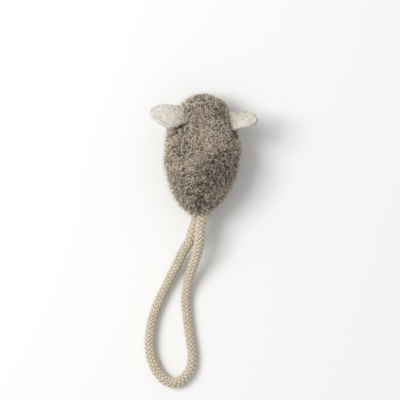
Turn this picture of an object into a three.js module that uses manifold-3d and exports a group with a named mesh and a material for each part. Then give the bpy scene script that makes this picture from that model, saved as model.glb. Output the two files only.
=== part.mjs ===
// Catnip mouse: a felted body with two felt ears, a filled inside and a loop of braided rope for a tail
// Millimetres, +Z up. The nose points along +Y and the belly's flat rests on the floor at the origin.
import * as THREE from 'three';
import { mergeVertices } from 'three/addons/utils/BufferGeometryUtils.js';
import Module from 'manifold-3d';

const wasm = await Module();
wasm.setup();

// Fits
const seatGap = 0.3; // between a piece and the seat cut for it
const fillGap = 0.3; // between the filling and what lies round it

// Felt body: its size, and its form from the nose to the rear in shares of that size
// Each station: place along, half width, back height, belly height, and its sideways shift in millimetres
const bodyLength = 53.6;
const bodyWidth = 32.4;
const bodyHeight = 27.5;
const bodyStations = [
  [0.539, 0, 0.414, 0.414, 0.9],
  [0.527, 0.17, 0.521, 0.314, 0.9],
  [0.499, 0.371, 0.607, 0.236, 0.9],
  [0.451, 0.539, 0.7, 0.157, 0.9],
  [0.378, 0.68, 0.786, 0.093, 0.9],
  [0.301, 0.76, 0.85, 0.05, 0.9],
  [0.206, 0.93, 0.921, 0.007, 0.6],
  [0.108, 0.985, 0.979, -0.014, 0.5],
  [0.009, 1, 1, -0.018, 0.2],
  [-0.099, 0.945, 0.979, -0.018, -0.2],
  [-0.194, 0.87, 0.914, -0.007, -0.4],
  [-0.286, 0.765, 0.814, 0.032, -0.7],
  [-0.349, 0.615, 0.73, 0.079, -1.2],
  [-0.4, 0.43, 0.67, 0.15, -1.5],
  [-0.442, 0.3, 0.62, 0.21, -1.3],
  [-0.469, 0, 0.4, 0.4, -1.2],
];
const girthLevel = 0.46; // how far up from belly to back the body is widest
const bellySquareness = 2.6; // 2 is an ellipse, more is flatter underneath
const bodySides = 32;
const bodySteps = 26;
const feltThickness = 4.5;
const cavitySides = 18;
const cavitySteps = 14;

// Ears: root is the middle of the hem in shares of half the body's width, its length and its height
// Sweep, lift, roll, lean, fold and the bends are in degrees
// The leaf's outline is given along the ear and across it, from the hem to the tip
const earThickness = 2.4;
const earEdgeRounding = 1.0;
const earThreadRadius = 0.35;
const earThreadBeyond = 0.8; // length of thread past each end of the hem
const threadSides = 8;
const earSeatReach = 9; // how far out the felt is cleared for the bending ear
const earSeatMargin = 0.9; // and how far past the front end of the hem
const foldFrom = 2; // along the ear, where the lengthwise fold begins
const foldTo = 7.5; // and where it is complete
const foldSoftness = 1; // how round the fold is at its bottom
const leftEar = {
  side: -1,
  root: [-0.407, 0.344, 0.662],
  sweep: 10,
  lift: 12,
  roll: 25,
  lean: 7,
  fold: 8,
  bendUp: 40,
  bendDown: 30,
  seatBehind: 1.4,
  hem: 4.4,
  leaf: [[4.5, 5.0], [8.0, 5.8], [11.8, 5.1], [14.9, 3.2]],
  length: 16.7,
};
const rightEar = {
  side: 1,
  root: [0.65, 0.319, 0.505],
  sweep: 8,
  lift: 33,
  roll: 22,
  lean: 18,
  fold: 34,
  bendUp: 25,
  bendDown: 40,
  seatBehind: 3.1,
  hem: 3.8,
  leaf: [[4.5, 4.4], [8.0, 5.6], [11.8, 5.5], [14.9, 3.9]],
  length: 17.0,
};

// Tail rope
const ropeRadius = 2.1;
const ropeSides = 10;
const loopSteps = 56;
const strandGap = 0.1; // between the strands where the loop begins
const strandAcross = 1.1; // half the sideways distance between the strands there
const mouthDepth = 2.6; // from the body's rear end in to the axis that the tail lifts about
const tailLift = 50; // degrees
const rootLength = 10; // from the lifting axis to the swinging axis
const floorGap = 0.1; // under the rope where it lies on the floor
const lieHeight = ropeRadius + floorGap;
// Middle line of the loop from the upper strand round to the lower one: place beside and behind the
// swinging axis, and height above the floor
const loopRoute = [
  [0.1, -3.9, 12.2],
  [-0.4, -7.5, 10.8],
  [-1.3, -11.0, 9.0],
  [-2.5, -14.6, 7.2],
  [-3.6, -18.1, 5.6],
  [-4.6, -21.7, 4.2],
  [-5.5, -26.1, 3.0],
  [-6.0, -30.5, 2.4],
  [-5.6, -35.9, lieHeight],
  [-5.0, -41.2, lieHeight],
  [-4.3, -46.5, lieHeight],
  [-3.4, -51.9, lieHeight],
  [-3.1, -56.3, lieHeight],
  [-3.6, -60.3, lieHeight],
  [-5.6, -64.2, lieHeight],
  [-8.7, -66.9, lieHeight],
  [-12.1, -67.5, lieHeight],
  [-15.7, -65.9, lieHeight],
  [-18.5, -62.8, lieHeight],
  [-20.4, -59.2, lieHeight],
  [-21.6, -55.3, lieHeight],
  [-22.1, -51.0, lieHeight],
  [-21.9, -45.6, lieHeight],
  [-21.2, -41.2, lieHeight],
  [-19.8, -35.9, lieHeight],
  [-17.6, -30.5, lieHeight],
  [-15.1, -25.2, 2.4],
  [-12.5, -19.9, 3.0],
  [-10.2, -15.5, 4.1],
  [-8.1, -11.0, 5.5],
  [-6.2, -7.5, 6.7],
  [-4.0, -3.9, 7.9],
];

// Rope's ends inside the body
const knotAhead = 12; // from the lifting axis to the knot's middle
const knotRadii = [5.2, 4.8, 4.7];
const knotSides = 14;
const knotSteps = 10;
const whippingAhead = 8.8; // from the lifting axis to the whipping
const whippingThread = 0.5; // radius

// Filling
const waddingAhead = 1; // from the tail's root to the rump's wadding
const sachetAhead = 1.7; // from the knot to the sachet's frill
const sachetWadding = 2.1; // over the sachet and under it

// Sachet of catnip, from its frill over the tied neck to its front: share of its radius, place along it
const sachetNeck = [0.31, 1.6];
const sachetOutline = [[0.46, 0], sachetNeck, [0.73, 3.6], [1, 8], [0.76, 12.6], [0, 14.6]];
const sachetCloth = 0.8;
const herbFrom = 3.8; // along the sachet
const tieThread = 0.5; // radius
const tieGap = 0.4; // between the tie and the neck, which flares on both sides of it
const outlineSteps = 12;
const turnSides = 18;

// Colours
const greyFelt = 0x857566;
const creamFelt = 0xe4decf;
const cottonRope = 0xd6c6a8;
const brownThread = 0x6b5d50;
const whiteWadding = 0xf0eee8;
const paleMuslin = 0xe8e0cc;
const driedHerb = 0x6f7a3c;

const weld = 1e-5; // points closer than this are one
const arcSteps = 10; // in the round back of a hinge
const pairSteps = 4; // in each round side of the pair of strands
const earSteps = 2; // in each stretch of an ear's outline and in its rounded edge
const radians = THREE.MathUtils.degToRad;
const farAway = 2 * bodyLength; // beyond the body on every side
const bodySize = [bodyWidth / 2, bodyLength, bodyHeight];
const [rearShare, , rearRise, , rearShift] = bodyStations.at(-1);
const tailAt = new THREE.Vector3(rearShift, rearShare * bodyLength + mouthDepth, rearRise * bodyHeight);
const pairSpread = ropeRadius + strandGap / 2; // half the distance between the strands' middles
const strandRise = Math.sqrt(pairSpread ** 2 - strandAcross ** 2);
const pairTilt = Math.atan2(strandRise, strandAcross);
const knuckleRadius = strandRise + ropeRadius;
const swingRadius = strandAcross + ropeRadius;
const rootReach = rootLength - swingRadius - seatGap;

function solidOf(geometry) {
  const bare = geometry.clone();
  bare.deleteAttribute('normal');
  bare.deleteAttribute('uv');
  const welded = mergeVertices(bare, weld);
  const vertProperties = new Float32Array(welded.attributes.position.array);
  const triVerts = new Uint32Array(welded.index.array);
  return new wasm.Manifold(new wasm.Mesh({ numProp: 3, vertProperties, triVerts }));
}

function reshape(geometry, move) {
  const places = geometry.attributes.position;
  const point = new THREE.Vector3();
  for (let i = 0; i < places.count; i += 1) {
    point.fromBufferAttribute(places, i);
    move(point, i);
    places.setXYZ(i, point.x, point.y, point.z);
  }
  return geometry;
}

function block(low, high) {
  const size = high.map((value, i) => value - low[i]);
  const middle = high.map((value, i) => (value + low[i]) / 2);
  return solidOf(new THREE.BoxGeometry(...size).translate(...middle));
}

// Swelling and tapering body: a ball whose rings follow the stations
function bodyLine(pick) {
  const places = bodyStations.map(([along, half, back, belly, shift]) => {
    const place = along * bodyLength;
    return pick(place, (half * bodyWidth) / 2, back * bodyHeight, belly * bodyHeight, shift);
  });
  return new THREE.CatmullRomCurve3(places, false, 'catmullrom');
}

const upperLine = bodyLine((place, half, back) => new THREE.Vector3(place, half, back));
const lowerLine = bodyLine((place, half, back, belly, shift) => new THREE.Vector3(place, belly, shift));

function bodyForm(sides, steps) {
  const ball = new THREE.SphereGeometry(1, sides, steps);
  const uv = ball.attributes.uv;
  const upper = new THREE.Vector3();
  const lower = new THREE.Vector3();
  return reshape(ball, (point, i) => {
    const turn = 2 * Math.PI * uv.getX(i);
    const share = Math.round((1 - uv.getY(i)) * steps) / steps;
    upperLine.getPoint(share, upper);
    lowerLine.getPoint(share, lower);
    const girth = lower.y + (upper.z - lower.y) * girthLevel;
    let across = -Math.cos(turn);
    let up = Math.sin(turn);
    if (up < 0) {
      const spread = Math.abs(across) ** bellySquareness + Math.abs(up) ** bellySquareness;
      across *= spread ** (-1 / bellySquareness);
      up *= spread ** (-1 / bellySquareness);
    }
    const rise = up > 0 ? upper.z - girth : girth - lower.y;
    point.set(lower.z + across * upper.y, upper.x, girth + up * rise);
  });
}

function insetForm(depth) {
  const bare = bodyForm(cavitySides, cavitySteps);
  bare.deleteAttribute('normal');
  bare.deleteAttribute('uv');
  const welded = mergeVertices(bare, weld);
  welded.computeVertexNormals();
  const normals = welded.attributes.normal;
  const normal = new THREE.Vector3();
  return reshape(welded, (point, i) => {
    normal.fromBufferAttribute(normals, i);
    point.addScaledVector(normal, -depth);
  });
}

function filling(from, to) {
  const slab = block([-farAway, from, -farAway], [farAway, to, farAway]);
  return solidOf(insetForm(feltThickness + fillGap)).intersect(slab);
}

// Bar along +X with a round back about a hinge along Y at the origin, widened to the turns it makes
function hingeFan(radius, reach, down, up, near, far) {
  const low = -radians(down);
  const high = radians(up);
  const fan = new THREE.Shape();
  const pivot = new THREE.Vector2();
  const lowTip = new THREE.Vector2(reach, -radius).rotateAround(pivot, low);
  const highTip = new THREE.Vector2(reach, radius).rotateAround(pivot, high);
  fan.moveTo(lowTip.x, lowTip.y);
  fan.lineTo(highTip.x, highTip.y);
  fan.absarc(0, 0, radius, high + Math.PI / 2, low + 1.5 * Math.PI, false);
  const along = { depth: far - near, bevelEnabled: false, curveSegments: arcSteps };
  const bar = new THREE.ExtrudeGeometry(fan, along);
  return bar.translate(0, 0, -far).rotateX(Math.PI / 2);
}

function rod(radius, from, to, sides) {
  return new THREE.CylinderGeometry(radius, radius, to - from, sides).translate(0, (from + to) / 2, 0);
}

// Ear frames: +X along the ear, +Y along its hem, +Z out of its upper face
function earFrame(ear) {
  const half = new THREE.Matrix4().makeRotationZ(ear.side > 0 ? 0 : Math.PI);
  const sweep = new THREE.Matrix4().makeRotationZ(ear.side * radians(ear.sweep));
  const lift = new THREE.Matrix4().makeRotationY(-radians(ear.lift));
  const roll = new THREE.Matrix4().makeRotationX(-ear.side * radians(ear.roll));
  const root = ear.root.map((share, i) => share * bodySize[i]);
  return half.multiply(sweep).multiply(lift).multiply(roll).setPosition(...root);
}

function earLeaf(ear) {
  const back = -earThickness / 2;
  const pivot = new THREE.Vector2();
  const lean = -ear.side * radians(ear.lean);
  const leaned = ([along, across]) => new THREE.Vector2(along, across).rotateAround(pivot, lean);
  const near = ear.leaf.map(([along, across]) => leaned([along, -across]));
  const far = ear.leaf.map(leaned).reverse();
  const outline = new THREE.Shape();
  outline.moveTo(back, -ear.hem);
  outline.lineTo(0, -ear.hem);
  outline.splineThru([...near, leaned([ear.length, 0]), ...far, new THREE.Vector2(0, ear.hem)]);
  outline.lineTo(back, ear.hem);
  const leaf = new THREE.ExtrudeGeometry(outline, {
    depth: earThickness - 2 * earEdgeRounding,
    bevelThickness: earEdgeRounding,
    bevelSize: earEdgeRounding,
    bevelOffset: -earEdgeRounding,
    bevelSegments: earSteps,
    curveSegments: earSteps,
  });
  leaf.translate(0, 0, earEdgeRounding + back);
  return reshape(leaf, (point) => {
    const fold = radians(ear.fold) * THREE.MathUtils.smoothstep(point.x, foldFrom, foldTo);
    point.z += (Math.hypot(point.y, foldSoftness) - foldSoftness) * Math.sin(fold);
    point.y *= Math.cos(fold);
  });
}

function earSolids(ear) {
  const frame = earFrame(ear);
  const leaf = earLeaf(ear);
  const front = ear.side * (ear.hem + earSeatMargin);
  const behind = -ear.side * (ear.hem + ear.seatBehind);
  const seatUp = ear.bendUp + ear.fold / 2;
  const seatRadius = earThickness / 2 + seatGap;
  const ends = [Math.min(front, behind), Math.max(front, behind)];
  const seat = hingeFan(seatRadius, earSeatReach, ear.bendDown, seatUp, ...ends);
  const threadEnd = ear.hem + earThreadBeyond;
  const thread = rod(earThreadRadius, -threadEnd, threadEnd, threadSides);
  const bore = rod(earThreadRadius + seatGap, -threadEnd - seatGap, threadEnd + seatGap, threadSides);
  const boreSolid = solidOf(bore.applyMatrix4(frame));
  return {
    leaf: solidOf(leaf.applyMatrix4(frame)).subtract(boreSolid),
    thread: solidOf(thread.applyMatrix4(frame)),
    seat: solidOf(seat.applyMatrix4(frame)).add(boreSolid),
  };
}

// Pair of strands pressed together, along Y
function strandPair(from, to, gap) {
  const radius = ropeRadius + gap;
  const outset = pairTilt - Math.PI / 2;
  const half = pairTilt + Math.PI / 2;
  const pair = new THREE.Shape();
  pair.absarc(strandAcross, strandRise, radius, outset, half, false);
  pair.absarc(-strandAcross, -strandRise, radius, half, outset + 2 * Math.PI, false);
  const along = { depth: to - from, bevelEnabled: false, curveSegments: pairSteps };
  const bar = new THREE.ExtrudeGeometry(pair, along);
  return solidOf(bar.rotateX(Math.PI / 2).translate(tailAt.x, to, tailAt.z));
}

function tailFan(radius, reach, up, half) {
  const fan = hingeFan(radius, reach, 0, up, -half, half);
  return solidOf(fan.rotateZ(-Math.PI / 2).translate(tailAt.x, tailAt.y, tailAt.z));
}

function ring(radius, thread, place) {
  const hoop = new THREE.TorusGeometry(radius, thread, threadSides, turnSides);
  return solidOf(hoop.rotateX(Math.PI / 2).translate(...place));
}

// Ears
const left = earSolids(leftEar);
const right = earSolids(rightEar);

// Tail: the stretch in the mouth, the loop behind it, and the knot that keeps both ends in
const rootBack = tailAt.y + knuckleRadius;
const tailRoot = strandPair(tailAt.y - rootReach, rootBack, 0)
  .intersect(tailFan(knuckleRadius, rootReach, 0, farAway));
const mouthSeat = tailFan(knuckleRadius + seatGap, rootLength, tailLift, swingRadius + seatGap);

const swingAt = tailAt.y - rootLength;
const upperEnd = new THREE.Vector3(tailAt.x + strandAcross, swingAt, tailAt.z + strandRise);
const lowerEnd = new THREE.Vector3(tailAt.x - strandAcross, swingAt, tailAt.z - strandRise);
const loopPoints = loopRoute.map(([beside, back, height]) => {
  return new THREE.Vector3(tailAt.x + beside, swingAt + back, height);
});
const route = [upperEnd, ...loopPoints, lowerEnd];
const ropeSection = new THREE.Shape().absarc(0, 0, ropeRadius, 0, 2 * Math.PI, false);
const loopTube = new THREE.ExtrudeGeometry(ropeSection, {
  extrudePath: new THREE.CatmullRomCurve3(route),
  steps: loopSteps,
  curveSegments: ropeSides / 2,
});
const swingRound = new THREE.CylinderGeometry(swingRadius, swingRadius, farAway, turnSides)
  .rotateX(Math.PI / 2)
  .translate(tailAt.x, swingAt, 0);
const loopEnd = strandPair(swingAt - swingRadius, swingAt + swingRadius, 0).intersect(solidOf(swingRound));
const tailLoop = solidOf(loopTube).add(loopEnd);

const knotPlace = tailAt.y + knotAhead;
const knotBall = (gap) => {
  const radii = knotRadii.map((radius) => radius + gap);
  const ball = new THREE.SphereGeometry(1, knotSides, knotSteps).scale(...radii);
  return solidOf(ball.translate(tailAt.x, knotPlace, tailAt.z));
};
const stemBack = rootBack + seatGap;
const tailKnot = strandPair(stemBack, knotPlace, 0).add(knotBall(0));
const stemSeat = strandPair(tailAt.y, knotPlace, seatGap);
const whippingRadius = Math.hypot(strandAcross, strandRise) + ropeRadius + seatGap + whippingThread;
const whippingPlace = tailAt.y + whippingAhead;
const tailWhipping = ring(whippingRadius, whippingThread, [tailAt.x, whippingPlace, tailAt.z]);
const whippingOut = whippingRadius + whippingThread + fillGap;
const whippingFront = whippingPlace + whippingThread + fillGap;
const rumpWaddingFrom = rootBack + waddingAhead;
const whippingSeat = solidOf(
  rod(whippingOut, rumpWaddingFrom - fillGap, whippingFront, turnSides).translate(tailAt.x, 0, tailAt.z),
);

// Felt skin: hollow, flat under the belly, cleared for the ears and the tail
const underFloor = block([-farAway, -farAway, -farAway], [farAway, farAway, 0]);
const feltBody = solidOf(bodyForm(bodySides, bodySteps))
  .subtract(solidOf(insetForm(feltThickness)))
  .subtract(underFloor)
  .subtract(left.seat)
  .subtract(right.seat)
  .subtract(mouthSeat)
  .subtract(stemSeat)
  .subtract(whippingSeat);

// Sachet with its herb and tie, and the wadding ahead of it and behind it
const sachetRadius = bodyHeight / 2 - feltThickness - sachetWadding;
const sachetAt = [0, knotPlace + knotRadii[1] + sachetAhead, bodyHeight / 2];
const sachetCurve = new THREE.SplineCurve(
  sachetOutline.map(([share, along]) => new THREE.Vector2(share * sachetRadius, along)),
);
const sachetLine = sachetCurve.getPoints(outlineSteps);

function insetLine(depth) {
  return sachetLine.map((point, i) => {
    const before = sachetLine[Math.max(i - 1, 0)];
    const after = sachetLine[Math.min(i + 1, outlineSteps)];
    const along = after.clone().sub(before).normalize();
    if (i === outlineSteps) {
      return new THREE.Vector2(0, point.y - depth);
    }
    return new THREE.Vector2(Math.max(point.x - along.y * depth, 0), point.y + along.x * depth);
  });
}

function turnedOnSachet(line) {
  return solidOf(new THREE.LatheGeometry(line, turnSides).translate(...sachetAt));
}

const catnipSachet = turnedOnSachet([...insetLine(sachetCloth).reverse(), ...sachetLine]);
const herbLine = insetLine(sachetCloth + fillGap).filter((point) => point.y > herbFrom);
const catnipHerb = turnedOnSachet([new THREE.Vector2(0, herbLine[0].y), ...herbLine]);
const [neckShare, neckPlace] = sachetNeck;
const tieRadius = neckShare * sachetRadius + tieGap + tieThread;
const sachetTie = ring(tieRadius, tieThread, [sachetAt[0], sachetAt[1] + neckPlace, sachetAt[2]]);
const sachetEnds = catnipSachet.boundingBox();
const headWadding = filling(sachetEnds.max[1] + fillGap, farAway);
const rumpWadding = filling(rumpWaddingFrom, sachetEnds.min[1] - fillGap)
  .subtract(knotBall(fillGap))
  .subtract(stemSeat)
  .subtract(whippingSeat);

const group = new THREE.Group();
group.name = 'catnip_mouse';

function addPiece(name, solid, color, roughness) {
  const mesh = solid.getMesh();
  const geometry = new THREE.BufferGeometry();
  geometry.setAttribute('position', new THREE.BufferAttribute(new Float32Array(mesh.vertProperties), 3));
  geometry.setIndex(new THREE.BufferAttribute(new Uint32Array(mesh.triVerts), 1));
  geometry.computeVertexNormals();
  const piece = new THREE.Mesh(geometry, new THREE.MeshStandardMaterial({ color, roughness, metalness: 0 }));
  piece.name = name;
  group.add(piece);
}

addPiece('felt_body', feltBody, greyFelt, 1);
addPiece('left_ear', left.leaf, creamFelt, 1);
addPiece('right_ear', right.leaf, creamFelt, 1);
addPiece('left_ear_thread', left.thread, brownThread, 0.8);
addPiece('right_ear_thread', right.thread, brownThread, 0.8);
addPiece('tail_root', tailRoot, cottonRope, 0.9);
addPiece('tail_loop', tailLoop, cottonRope, 0.9);
addPiece('tail_knot', tailKnot, cottonRope, 0.9);
addPiece('tail_whipping', tailWhipping, brownThread, 0.8);
addPiece('head_wadding', headWadding, whiteWadding, 1);
addPiece('rump_wadding', rumpWadding, whiteWadding, 1);
addPiece('catnip_sachet', catnipSachet, paleMuslin, 0.95);
addPiece('catnip_herb', catnipHerb, driedHerb, 1);
addPiece('sachet_tie', sachetTie, brownThread, 0.8);

export default group;
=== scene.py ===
import math

import bmesh
import bpy
import numpy as np
from mathutils import Matrix, Vector, noise


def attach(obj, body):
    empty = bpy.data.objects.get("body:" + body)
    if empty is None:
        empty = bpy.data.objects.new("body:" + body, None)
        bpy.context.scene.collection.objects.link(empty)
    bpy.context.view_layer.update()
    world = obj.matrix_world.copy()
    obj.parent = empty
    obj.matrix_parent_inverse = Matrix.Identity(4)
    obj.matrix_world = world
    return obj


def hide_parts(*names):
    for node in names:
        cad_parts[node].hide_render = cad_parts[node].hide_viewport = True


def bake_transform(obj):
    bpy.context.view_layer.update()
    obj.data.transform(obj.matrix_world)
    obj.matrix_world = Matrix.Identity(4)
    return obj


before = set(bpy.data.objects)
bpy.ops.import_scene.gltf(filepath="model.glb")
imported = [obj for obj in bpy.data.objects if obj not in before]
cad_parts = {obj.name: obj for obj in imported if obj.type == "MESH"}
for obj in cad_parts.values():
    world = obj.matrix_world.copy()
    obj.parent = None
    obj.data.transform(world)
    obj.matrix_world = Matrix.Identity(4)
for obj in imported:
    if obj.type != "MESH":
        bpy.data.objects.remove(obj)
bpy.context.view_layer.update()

mm = 0.001
fullTurn = 2 * math.pi
scene = bpy.context.scene
print("frame loaded:", len(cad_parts), "nodes")

# Camera straight above, on a long lens
photoView = {
    "pixels": 400,
    "mmPerPixel": 0.444,
    "middle": (-0.8, -18.65),  # point of the floor under the middle of the picture, mm
    "height": 1500,  # of the lens above the floor, mm
    "sharpHeight": 10,  # height at which the scale holds, mm
    "sensor": 36,
    "farLimit": 20,  # how far the camera sees, metres
}


def placeCamera(view):
    data = bpy.data.cameras.new("viewCamera")
    reach = (view["height"] - view["sharpHeight"]) / (view["pixels"] * view["mmPerPixel"])
    data.sensor_width = view["sensor"]
    data.lens = view["sensor"] * reach
    data.clip_end = view["farLimit"]
    camera = bpy.data.objects.new("viewCamera", data)
    camera.location = (view["middle"][0] * mm, view["middle"][1] * mm, view["height"] * mm)
    scene.collection.objects.link(camera)
    scene.camera = camera


placeCamera(photoView)
print("camera set")


# Small helpers for meshes and lines
def shade(red, green, blue):  # colour as seen on a screen, 0 to 255
    def linear(value):  # by the screen's usual curve
        value /= 255
        return value / 12.92 if value < 0.04045 else ((value + 0.055) / 1.055) ** 2.4
    return (linear(red), linear(green), linear(blue), 1)


def smoothLine(points, count):  # evenly shared points of a curve through the given ones
    points = np.array(points, float)
    padded = np.vstack([2 * points[0] - points[1], points, 2 * points[-1] - points[-2]])
    places = np.linspace(0, len(points) - 1, count)
    cells = np.minimum(places.astype(int), len(points) - 2)
    part = (places - cells)[:, None]
    p0, p1, p2, p3 = (padded[cells + i] for i in range(4))
    bend = 2 * p0 - 5 * p1 + 4 * p2 - p3
    twist = 3 * (p1 - p2) + p3 - p0
    return 0.5 * (2 * p1 + (p2 - p0) * part + bend * part ** 2 + twist * part ** 3)


def stepAlong(value, low, high):  # 0 below low, 1 above high, smooth between
    part = np.clip((value - low) / (high - low), 0, 1)
    return part * part * (3 - 2 * part)


def meshPiece(name, points, faces, material=None, edges=()):
    mesh = bpy.data.meshes.new(name)
    mesh.from_pydata([tuple(point) for point in points], list(edges), faces)
    if material:
        mesh.materials.append(material)
    piece = bpy.data.objects.new(name, mesh)
    scene.collection.objects.link(piece)
    return piece


def vectorsOf(items, key):
    values = np.zeros(len(items) * 3)
    items.foreach_get(key, values)
    return values.reshape(-1, 3)


def pointsOf(mesh):
    return vectorsOf(mesh.vertices, "co")


def movePoints(mesh, points):
    mesh.vertices.foreach_set("co", np.ascontiguousarray(points, np.float32).ravel())
    mesh.update()


def pushedOut(mesh, points, heights):  # the mesh's points moved along its normals, heights in mm
    normals = vectorsOf(mesh.vertex_normals, "vector")
    return points + normals * heights[:, None] * mm


def tidyFaces(mesh, merge=1e-6):  # one skin, facing out, smooth
    work = bmesh.new()
    work.from_mesh(mesh)
    bmesh.ops.remove_doubles(work, verts=work.verts, dist=merge)
    bmesh.ops.recalc_face_normals(work, faces=work.faces)
    work.to_mesh(mesh)
    work.free()
    mesh.shade_smooth()


def changed(piece, kind, **settings):  # one modifier, with its result kept as plain mesh
    change = piece.modifiers.new(kind.lower(), kind)
    for key, value in settings.items():
        setattr(change, key, value)
    graph = bpy.context.evaluated_depsgraph_get()
    mesh = bpy.data.meshes.new_from_object(piece.evaluated_get(graph), depsgraph=graph)
    piece.modifiers.clear()
    old = piece.data
    piece.data = mesh
    bpy.data.meshes.remove(old)
    return mesh


def evenFaces(piece, voxel):  # faces of about that size all over, mm
    return changed(piece, "REMESH", mode="VOXEL", voxel_size=voxel * mm, use_smooth_shade=True)


def rounded(piece):
    return changed(piece, "SUBSURF", levels=1, render_levels=1)


def paint(mesh, name, values):
    layer = mesh.attributes.new(name, "FLOAT", "POINT")
    layer.data.foreach_set("value", np.ascontiguousarray(values, np.float32))


seedStrides = (17.3, 5.1, 9.7)  # how far apart the noise of two seeds is taken


def lumps(points, size, seed):  # soft noise, about -1 to 1, with lumps of that size in mm
    shift = Vector([seed * stride for stride in seedStrides])
    return np.array([noise.noise(Vector(point) / (size * mm) + shift) for point in points])


# Small helpers for node trees
def newTree(name, kind, inputs, outputs):
    tree = bpy.data.node_groups.new(name, kind)
    for way, sockets in (("INPUT", inputs), ("OUTPUT", outputs)):
        for label, socketKind in sockets.items():
            tree.interface.new_socket(label, in_out=way, socket_type="NodeSocket" + socketKind)
    return tree


def addNode(tree, kind, inputs=None, **settings):
    node = tree.nodes.new(kind)
    for key, value in settings.items():
        setattr(node, key, value)
    for key, value in (inputs or {}).items():
        if isinstance(value, bpy.types.NodeSocket):
            tree.links.new(value, node.inputs[key])
        else:
            node.inputs[key].default_value = value
    return node


def outOf(tree, kind, inputs=None, **settings):  # first output of a new node
    return addNode(tree, kind, inputs, **settings).outputs[0]


def maths(tree, operation, *values):
    return outOf(tree, "ShaderNodeMath", dict(enumerate(values)), operation=operation)


def vectorMaths(tree, operation, first, second, socket=1):
    return outOf(tree, "ShaderNodeVectorMath", {0: first, socket: second}, operation=operation)


def randomValue(tree, low, high, seed):
    return addNode(tree, "FunctionNodeRandomValue", {2: low, 3: high, "Seed": seed}).outputs[1]


def objectPlace(tree):
    return addNode(tree, "ShaderNodeTexCoord").outputs["Object"]


def noiseValue(tree, **inputs):
    return addNode(tree, "ShaderNodeTexNoise", inputs).outputs["Fac"]


def painted(tree, name):  # in a shader, what was painted on the mesh
    return addNode(tree, "ShaderNodeAttribute", attribute_name=name).outputs["Fac"]


def stored(tree, name, kind="FLOAT"):  # in a geometry tree, what is kept under that name
    return outOf(tree, "GeometryNodeInputNamedAttribute", {"Name": name}, data_type=kind)


def store(tree, geometry, name, value, kind="FLOAT"):
    kept = {"Geometry": geometry, "Name": name, "Value": value}
    return outOf(tree, "GeometryNodeStoreNamedAttribute", kept, data_type=kind)


def circleLine(tree, sides, radius):
    return outOf(tree, "GeometryNodeCurvePrimitiveCircle", {"Resolution": sides, "Radius": radius})


def sweptAlong(tree, line, section, **inputs):
    swept = {0: line, 1: section, "Fill Caps": True, **inputs}
    return outOf(tree, "GeometryNodeCurveToMesh", swept)


def joined(tree, parts):
    node = addNode(tree, "GeometryNodeJoinGeometry")
    for part in parts:
        tree.links.new(part, node.inputs[0])
    return node.outputs[0]


def endTree(tree, made, material):  # one smooth mesh in that material
    made = outOf(tree, "GeometryNodeSetShadeSmooth", {0: made})
    made = outOf(tree, "GeometryNodeRealizeInstances", {0: made})
    made = outOf(tree, "GeometryNodeSetMaterial", {"Geometry": made, "Material": material})
    tree.links.new(made, addNode(tree, "NodeGroupOutput").inputs[0])


def grow(name, host, tree, values):  # what the tree makes on the host, as a plain mesh piece
    change = host.modifiers.new(name, "NODES")
    change.node_group = tree
    for item in tree.interface.items_tree:
        if item.in_out == "INPUT" and item.name in values:
            change[item.identifier] = values[item.name]
    graph = bpy.context.evaluated_depsgraph_get()
    mesh = bpy.data.meshes.new_from_object(host.evaluated_get(graph), depsgraph=graph)
    host.modifiers.remove(change)
    piece = bpy.data.objects.new(name, mesh)
    mesh.name = name
    scene.collection.objects.link(piece)
    print("   ", name, len(mesh.polygons), "faces")
    return piece


# Shader groups
mottleLook = {
    "turns": [(0.3, 0.2, 0.4), (0.9, -0.5, 1.5), (-0.7, 0.8, 2.6)],  # of each set of streaks, radians
    "streakScale": (420, 2600, 1500),
    "streakDetail": 3.0,
    "streakBend": 0.6,
    "gain": 3.4,  # makes the streaks stand out
    "offset": -1.55,
    "cloudDetail": 4.0,
    "cloudRoughness": 0.6,
}
plyLook = {"wearScale": 420.0, "wearDetail": 5.0, "wearRoughness": 0.65}


def mottleGroup(look):  # tangled streaks in three directions, with soft clouds under them
    tree = newTree(
        "woolMottle",
        "ShaderNodeTree",
        {"Streaks": "Float", "Clouds": "Float", "Cloud Size": "Float"},
        {"Streak": "Float", "Cloud": "Float", "Height": "Float"},
    )
    source = addNode(tree, "NodeGroupInput").outputs
    place = objectPlace(tree)
    streak = None
    for turn in look["turns"]:
        lie = {"Vector": place, "Rotation": turn, "Scale": look["streakScale"]}
        laid = outOf(tree, "ShaderNodeMapping", lie)
        waves = {"Detail": look["streakDetail"], "Distortion": look["streakBend"]}
        value = noiseValue(tree, Vector=laid, Scale=1.0, **waves)
        streak = value if streak is None else maths(tree, "MAXIMUM", streak, value)
    sharp = maths(tree, "MULTIPLY_ADD", streak, look["gain"], look["offset"])
    clamped = outOf(tree, "ShaderNodeClamp", {0: sharp})
    puffs = {"Detail": look["cloudDetail"], "Roughness": look["cloudRoughness"]}
    closeness = maths(tree, "DIVIDE", 1 / mm, source["Cloud Size"])
    cloud = noiseValue(tree, Vector=place, Scale=closeness, **puffs)
    made = {
        "Streak": maths(tree, "MULTIPLY", clamped, source["Streaks"]),
        "Cloud": maths(tree, "MULTIPLY", cloud, source["Clouds"]),
        "Height": clamped,
    }
    addNode(tree, "NodeGroupOutput", made)
    return tree


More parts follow.
